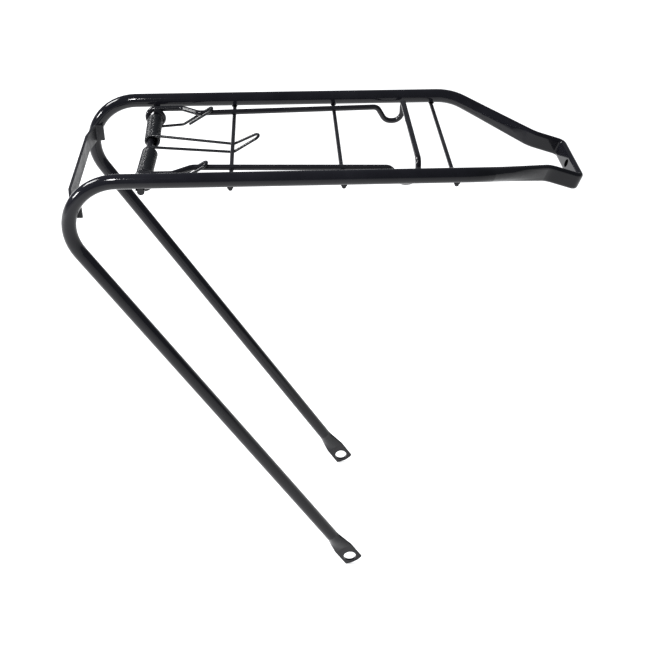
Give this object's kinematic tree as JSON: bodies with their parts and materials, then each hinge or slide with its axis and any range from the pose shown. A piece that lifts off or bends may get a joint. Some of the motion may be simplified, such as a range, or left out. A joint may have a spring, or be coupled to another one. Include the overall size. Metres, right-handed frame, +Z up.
{
  "type": "bicycle rear luggage carrier",
  "caption": "Bent tubular steel rear carrier with cross rods, flattened axle plates, a flattened nose with a bolt hole, a rear reflector bracket and a sprung parcel clip.",
  "frame": {"origin": "centre of the bolt hole in the nose plate", "axes": "+X towards the nose, +Y to the left rail along the axle, +Z up with the platform level"},
  "size_m": [0.3603, 0.142, 0.3749],
  "materials": {
    "black_enamel": "gloss",
    "bracket_enamel": "gloss",
    "black_spring_wire": "gloss"
  },
  "bodies": {
    "carrier": {"tube_frame": "black_enamel", "cross_rod_rear": "black_enamel", "cross_rod_middle": "black_enamel", "cross_rod_front": "black_enamel", "hinge_rod": "black_enamel", "reflector_bracket": "bracket_enamel", "torsion_spring": "black_spring_wire"},
    "clip": {"clip_frame": "black_enamel", "spring_arm_left": "black_spring_wire", "spring_arm_right": "black_spring_wire"}
  },
  "joints": [
    {"name": "clip_hinge", "type": "hinge", "parent": "carrier", "child": "clip", "pos_m": [-0.30151, 0, 0.01918], "axis": [0, -1, 0], "range_deg": [0, 90], "stiffness_Nm_per_rad": 0.6, "springref_deg": -28.65}
  ]
}
